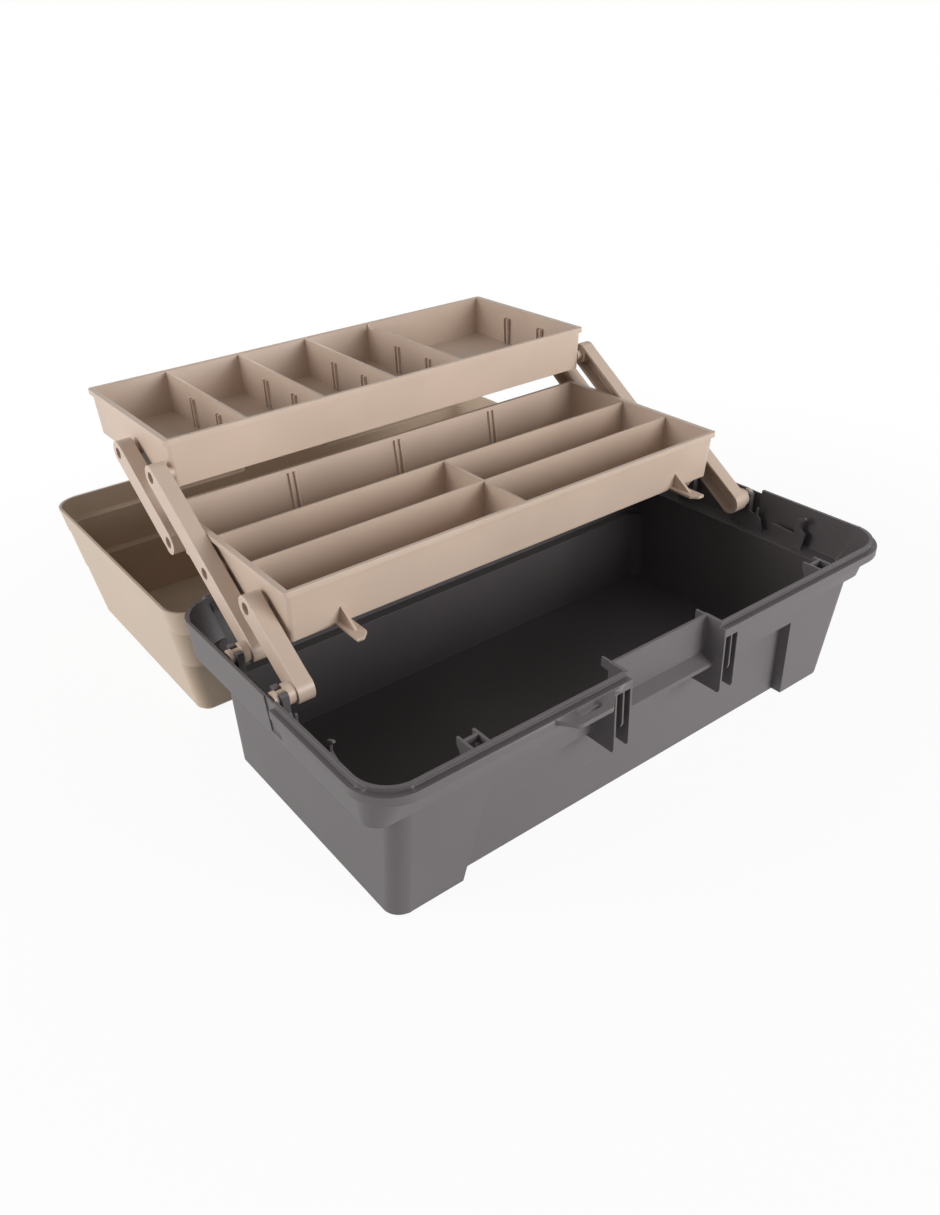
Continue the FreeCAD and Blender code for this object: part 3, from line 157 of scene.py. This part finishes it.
# %% [markdown]
# The floor is a pale matt sheet that catches a soft shadow. The photographer's sheet is lit
# until it is white, which here would burn out the box as well. So the camera sees the sheet
# as a mix of lit paper and plain white, and further off as white alone, so that it has no
# visible end. Reflections see it the same way. The rays that light the box meet only paper.

# %% Floor and background
FLOOR_HALF = 6.0
FLOOR_COLOUR = "#f3f2f0"
WHITE_NEAR = 0.93
WHITE_FROM = 0.35
WHITE_BY = 0.8


def make_floor_material():
    """Matt pale paper, seen partly white beside the box and wholly white further off."""
    material, tree = empty_material("studio_paper")
    place = add_node(tree, "ShaderNodeNewGeometry")
    distance = add_node(tree, "ShaderNodeVectorMath", operation="LENGTH",
                        links={0: place.outputs["Position"]})
    white_share = add_node(
        tree, "ShaderNodeMapRange", interpolation_type="SMOOTHSTEP",
        values={"From Min": WHITE_FROM, "From Max": WHITE_BY, "To Min": WHITE_NEAR},
        links={"Value": distance.outputs["Value"]})
    seen = rays_of(tree, "Camera", "Glossy", "Transmission")
    share = add_node(tree, "ShaderNodeMath", operation="MULTIPLY",
                     links={0: white_share.outputs[0], 1: seen})
    paper = add_node(tree, "ShaderNodeBsdfDiffuse", values={"Color": linear(FLOOR_COLOUR)})
    white = add_node(tree, "ShaderNodeEmission", values={"Strength": 1.0})
    mix = add_node(tree, "ShaderNodeMixShader",
                   links={0: share.outputs[0], 1: paper.outputs[0], 2: white.outputs[0]})
    add_node(tree, "ShaderNodeOutputMaterial", links={"Surface": mix.outputs[0]})
    return material


def make_floor():
    """A square sheet at the height that the box stands on."""
    corners = [(-FLOOR_HALF, -FLOOR_HALF), (FLOOR_HALF, -FLOOR_HALF),
               (FLOOR_HALF, FLOOR_HALF), (-FLOOR_HALF, FLOOR_HALF)]
    mesh = bpy.data.meshes.new("floor")
    mesh.from_pydata([(x, y, cad_low.z) for x, y in corners], [], [(0, 1, 2, 3)])
    mesh.materials.append(make_floor_material())
    floor = bpy.data.objects.new("floor", mesh)
    scene.collection.objects.link(floor)


make_floor()
print("The floor reaches", FLOOR_HALF, "m each way")

# %% [markdown]
# The photograph was lit by two broad lamps that stand low: one at the left end of the box
# and one to the right of its front. Nothing shines from the camera, so the corner between
# the two is dark, and the deep insides are darker still. A weak dome fills the shadows.

# %% Lamps and sky
SKY_STRENGTH = 0.3
SKY_COLOUR = "#fbfbfd"
SKY_SEEN = "#ffffff"
LAMPS = {
    "left_end": {"place": (-1.8, 0.7, 0.75), "size": 1.1, "watts": 24.0},
    "front_right": {"place": (0.85, -2.0, 0.62), "size": 1.2, "watts": 46.0},
}


def make_sky():
    """A pale dome: white to the camera and in reflections, dimmer where it lights."""
    world = bpy.data.worlds.new("studio")
    scene.world = world
    world.use_nodes = True
    tree = world.node_tree
    tree.nodes.clear()
    light = add_node(tree, "ShaderNodeBackground",
                     values={"Color": linear(SKY_COLOUR), "Strength": SKY_STRENGTH})
    white = add_node(tree, "ShaderNodeBackground",
                     values={"Color": linear(SKY_SEEN), "Strength": 1.0})
    seen = rays_of(tree, "Camera", "Glossy")
    mix = add_node(tree, "ShaderNodeMixShader",
                   links={0: seen, 1: light.outputs[0], 2: white.outputs[0]})
    add_node(tree, "ShaderNodeOutputWorld", links={"Surface": mix.outputs[0]})


def make_lamp(name, place, size, watts):
    """A square soft lamp that faces the middle of the box."""
    light = bpy.data.lights.new(name, "AREA")
    light.size = size
    light.energy = watts
    lamp = bpy.data.objects.new(name, light)
    middle = (cad_low + cad_high) / 2
    lamp.location = place
    lamp.rotation_euler = (middle - Vector(place)).to_track_quat("-Z", "Y").to_euler()
    scene.collection.objects.link(lamp)


scene.view_settings.view_transform = "Standard"
make_sky()
for name, lamp in LAMPS.items():
    make_lamp(name, **lamp)
    print("Lamp", name, "gives", lamp["watts"], "W")

# %% [markdown]
# Polypropylene is the plastic of nearly every tackle box: tough, slightly waxy and satin.
# Its index of refraction is about 1.49. Four things break up a flat colour on the real one:
# the spark-eroded grain of the mould, slow sink waves in the large walls, pigment that
# flowed unevenly, and pale rubbed marks from handling. The mould's own grain of about 0.4 mm
# is finer than a pixel here, so it is drawn at 1.3 mm. Each of the four is a noise of its own
# size, because noise has no seams and needs no picture.

# %% Moulded polypropylene
GRAIN = 1.3 * MM
GRAIN_DEPTH = 0.2 * MM
GRAIN_STRENGTH = 0.1
SINK_WAVE = 55 * MM
WAVE_DEPTH = 1.5 * MM
WAVE_STRENGTH = 0.25
PIGMENT_CLOUD = 90 * MM
CLOUD_SHARE = 0.06
SCUFF_LENGTH = 14 * MM
SCUFF_WIDTH = 0.9 * MM
SCUFF_TURN = (0.4, 0.7, 0.5)
SCUFF_FROM = 0.64
SCUFF_FULL = 0.8
SCUFF_SHARE = 0.12
NOISE_LOW = 0.3
NOISE_HIGH = 0.7
ROUGHNESS_SWING = 0.05
POLYPROPYLENE_IOR = 1.49
POLYPROPYLENE_GLOSS = 0.5


def moulded_polypropylene(name, colour, rubbed, roughness):
    """Satin polypropylene: base colour clouded a little darker and lighter, rubbed marks
    along one slanted direction, and a height made of fine grain and slow waves."""
    material, tree = empty_material(name)
    place = add_node(tree, "ShaderNodeTexCoord").outputs["Object"]
    clouds = add_node(tree, "ShaderNodeTexNoise", links={"Vector": place},
                      values={"Scale": 1 / PIGMENT_CLOUD, "Detail": 3.0})
    level = add_node(tree, "ShaderNodeMapRange", links={"Value": clouds.outputs["Fac"]},
                     values={"From Min": NOISE_LOW, "From Max": NOISE_HIGH,
                             "To Min": 1 - CLOUD_SHARE, "To Max": 1 + CLOUD_SHARE})
    clouded = add_node(tree, "ShaderNodeVectorMath", operation="SCALE",
                       values={0: linear(colour)[:3]}, links={"Scale": level.outputs[0]})
    stretch = add_node(tree, "ShaderNodeMapping", links={"Vector": place},
                       values={"Rotation": SCUFF_TURN,
                               "Scale": (1 / SCUFF_LENGTH, 1 / SCUFF_WIDTH, 1 / SCUFF_WIDTH)})
    streaks = add_node(tree, "ShaderNodeTexNoise", values={"Scale": 1.0, "Detail": 2.0},
                       links={"Vector": stretch.outputs[0]})
    worn = add_node(tree, "ShaderNodeMapRange", links={"Value": streaks.outputs["Fac"]},
                    values={"From Min": SCUFF_FROM, "From Max": SCUFF_FULL,
                            "To Max": SCUFF_SHARE})
    finish = add_node(tree, "ShaderNodeMix", data_type="RGBA",
                      values={MIX_SECOND: linear(rubbed)},
                      links={MIX_SHARE: worn.outputs[0], MIX_FIRST: clouded.outputs[0]})
    grain = add_node(tree, "ShaderNodeTexNoise", links={"Vector": place},
                     values={"Scale": 1 / GRAIN, "Detail": 2.0})
    waves = add_node(tree, "ShaderNodeTexNoise", links={"Vector": place},
                     values={"Scale": 1 / SINK_WAVE, "Detail": 1.0})
    wave_bump = add_node(tree, "ShaderNodeBump", links={"Height": waves.outputs["Fac"]},
                         values={"Strength": WAVE_STRENGTH, "Distance": WAVE_DEPTH})
    grain_bump = add_node(tree, "ShaderNodeBump",
                          values={"Strength": GRAIN_STRENGTH, "Distance": GRAIN_DEPTH},
                          links={"Height": grain.outputs["Fac"],
                                 "Normal": wave_bump.outputs[0]})
    gloss = add_node(tree, "ShaderNodeMapRange", links={"Value": clouds.outputs["Fac"]},
                     values={"From Min": NOISE_LOW, "From Max": NOISE_HIGH,
                             "To Min": roughness - ROUGHNESS_SWING,
                             "To Max": roughness + ROUGHNESS_SWING})
    skin = add_node(tree, "ShaderNodeBsdfPrincipled",
                    values={"IOR": POLYPROPYLENE_IOR,
                            "Specular IOR Level": POLYPROPYLENE_GLOSS},
                    links={"Base Color": finish.outputs[MIX_RESULT],
                           "Roughness": gloss.outputs[0], "Normal": grain_bump.outputs[0]})
    add_node(tree, "ShaderNodeOutputMaterial", links={"Surface": skin.outputs[0]})
    return material


FINISHES = {
    "dark_grey_plastic": moulded_polypropylene(
        "dark_grey_polypropylene", "#5b5657", "#918c8c", 0.5),
    "tan_lid_plastic": moulded_polypropylene(
        "tan_lid_polypropylene", "#c1ad98", "#d8cabb", 0.45),
    "tan_tray_plastic": moulded_polypropylene(
        "tan_tray_polypropylene", "#c6b1a0", "#ddcdc0", 0.42),
}
print("Plastics:", sorted(FINISHES))

# %% [markdown]
# The hinge and latch pins are cold-drawn steel wire with a thin zinc coat. Drawing leaves
# fine lines along the wire, which lie along X on every pin of the box. One noise, stretched
# along X, gives the lines both their two greys and their change of roughness.

# %% Zinc-coated steel wire
DRAWN_LINE = 0.35 * MM
WIRE_LENGTH = 60 * MM
STEEL_DULL = "#a9acaf"
STEEL_BRIGHT = "#c9ccce"
STEEL_SMOOTH = 0.3
STEEL_ROUGH = 0.5


def zinc_coated_steel():
    """Metal with a dull blue-grey colour, and roughness in lines along X."""
    material, tree = empty_material("zinc_coated_steel_wire")
    place = add_node(tree, "ShaderNodeTexCoord")
    drawn = add_node(tree, "ShaderNodeMapping", links={"Vector": place.outputs["Object"]},
                     values={"Scale": (1 / WIRE_LENGTH, 1 / DRAWN_LINE, 1 / DRAWN_LINE)})
    lines = add_node(tree, "ShaderNodeTexNoise", values={"Scale": 1.0, "Detail": 2.0},
                     links={"Vector": drawn.outputs[0]})
    tone = add_node(tree, "ShaderNodeMix", data_type="RGBA",
                    values={MIX_FIRST: linear(STEEL_DULL), MIX_SECOND: linear(STEEL_BRIGHT)},
                    links={MIX_SHARE: lines.outputs["Fac"]})
    gloss = add_node(tree, "ShaderNodeMapRange", links={"Value": lines.outputs["Fac"]},
                     values={"To Min": STEEL_SMOOTH, "To Max": STEEL_ROUGH})
    metal = add_node(tree, "ShaderNodeBsdfPrincipled", values={"Metallic": 1.0},
                     links={"Base Color": tone.outputs[MIX_RESULT],
                            "Roughness": gloss.outputs[0]})
    add_node(tree, "ShaderNodeOutputMaterial", links={"Surface": metal.outputs[0]})
    return material


FINISHES["steel"] = zinc_coated_steel()
print("Finishes:", sorted(FINISHES))

# %% [markdown]
# A moulded edge is never sharp: the tool's cutter and the shrinking plastic leave a small
# radius that catches a line of light. A copy of each moulded piece therefore has its loose
# triangles joined into whole walls, and its long edges are given a bevel weight wherever the
# walls beside them are wide enough, over WALL_RADII radii. The small edges of clips, eyes and
# corners stay crisp, because a radius there would fold the thin walls over.

# %% Join the triangles into walls
EDGE_ANGLE = math.radians(28)
ROUNDED_LENGTH = {"base_tub": 1.4 * MM, "lid": 1.4 * MM}
ROUNDED_LENGTH_ELSEWHERE = 8 * MM
WALL_RADII = 3.0
SAME_POINT = 0.002 * MM
FLAT_ANGLE = math.radians(0.3)


def wall_width(wall, edge):
    """The least way across a wall, from the middle of one of its edges to the edges that
    don't touch it, or 0 where there are none."""
    middle = (edge.verts[0].co + edge.verts[1].co) / 2
    ways = []
    for other in wall.edges:
        if not set(other.verts) & set(edge.verts):
            start, end = other.verts[0].co, other.verts[1].co
            _, share = intersect_point_line(middle, start, end)
            nearest = start.lerp(end, min(max(share, 0), 1))
            ways.append((nearest - middle).length)
    return min(ways, default=0)


def joined_walls(node, radius):
    """A mesh of the node whose triangles share their points. Long edges with wide walls get
    a bevel weight of 1, and all other real edges are marked sharp."""
    work = bmesh.new()
    work.from_mesh(frame["nodes"][node].data)
    bmesh.ops.remove_doubles(work, verts=work.verts, dist=SAME_POINT)
    bmesh.ops.dissolve_limit(work, angle_limit=FLAT_ANGLE, verts=work.verts, edges=work.edges)
    weight = work.edges.layers.float.new("bevel_weight_edge")
    shortest = ROUNDED_LENGTH.get(node, ROUNDED_LENGTH_ELSEWHERE)
    for edge in work.edges:
        if edge.calc_face_angle(0) > EDGE_ANGLE:
            rounded = edge.calc_length() > shortest and all(
                wall_width(wall, edge) > WALL_RADII * radius for wall in edge.link_faces)
            edge[weight] = 1.0 if rounded else 0.0
            edge.smooth = rounded
    bmesh.ops.triangulate(work, faces=work.faces[:])
    for face in work.faces:
        face.smooth = True
    mesh = bpy.data.meshes.new(node + "_moulded")
    work.to_mesh(mesh)
    work.free()
    return mesh


print("An edge turns by more than", round(math.degrees(EDGE_ANGLE)), "degrees")

# %% [markdown]
# The copy is rounded by two modifiers. The bevel cuts each weighted edge in two steps. Then
# the normals are weighted by the size of their faces. FLAT_WALL_WEIGHT is far above the even
# 50, so that the broad walls stay flat and the whole turn shows on the radius. The copy takes
# the place of the plain piece, and rides on the same body.

# %% Round the moulded edges
EDGE_RADIUS = {
    "base_tub": 0.35 * MM,
    "lid": 0.4 * MM,
    "latch": 0.5 * MM,
    "handle": 0.5 * MM,
    "lower_tray": 0.4 * MM,
    "upper_tray": 0.4 * MM,
}
for arm in ("front_arm", "long_arm", "rear_link"):
    for side in ("right", "left"):
        EDGE_RADIUS[f"{arm}_{side}"] = 0.5 * MM
SLOTS = {
    "base_tub": "dark_grey_plastic",
    "latch": "dark_grey_plastic",
    "handle": "dark_grey_plastic",
    "lid": "tan_lid_plastic",
}
EDGE_STEPS = 2
FLAT_WALL_WEIGHT = 92
body_of_node = {node: body for body, nodes in frame["record"]["behaviour"]["bodies"].items()
                for node in nodes}


def round_edges(node, radius):
    """Stands a copy with rounded edges in the node's place and gives it its finish."""
    slot = SLOTS.get(node, "tan_tray_plastic")
    mesh = joined_walls(node, radius)
    mesh.materials.clear()
    mesh.materials.append(FINISHES[slot])
    piece = bpy.data.objects.new(node + "_moulded", mesh)
    scene.collection.objects.link(piece)
    rounding = piece.modifiers.new("moulded_edge", "BEVEL")
    rounding.width = radius
    rounding.segments = EDGE_STEPS
    rounding.limit_method = "WEIGHT"
    rounding.use_clamp_overlap = False
    shading = piece.modifiers.new("flat_walls", "WEIGHTED_NORMAL")
    shading.keep_sharp = True
    shading.weight = FLAT_WALL_WEIGHT
    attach(piece, body_of_node[node])
    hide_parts(node)
    return len(mesh.polygons)


for node, radius in EDGE_RADIUS.items():
    print(node, "has", round_edges(node, radius), "triangles before its edges are rounded")

# %% [markdown]
# The two hinge pins and the latch pin are round and plain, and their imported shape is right
# as it is. They keep it, and only their finish changes to the drawn steel.

# %% Give the pins their steel
PINS = ("hinge_pin_right", "hinge_pin_left", "latch_pin")
for pin in PINS:
    steel_pin = frame["nodes"][pin]
    steel_pin.data.materials.clear()
    steel_pin.data.materials.append(FINISHES["steel"])
print("Steel pins:", len(PINS))
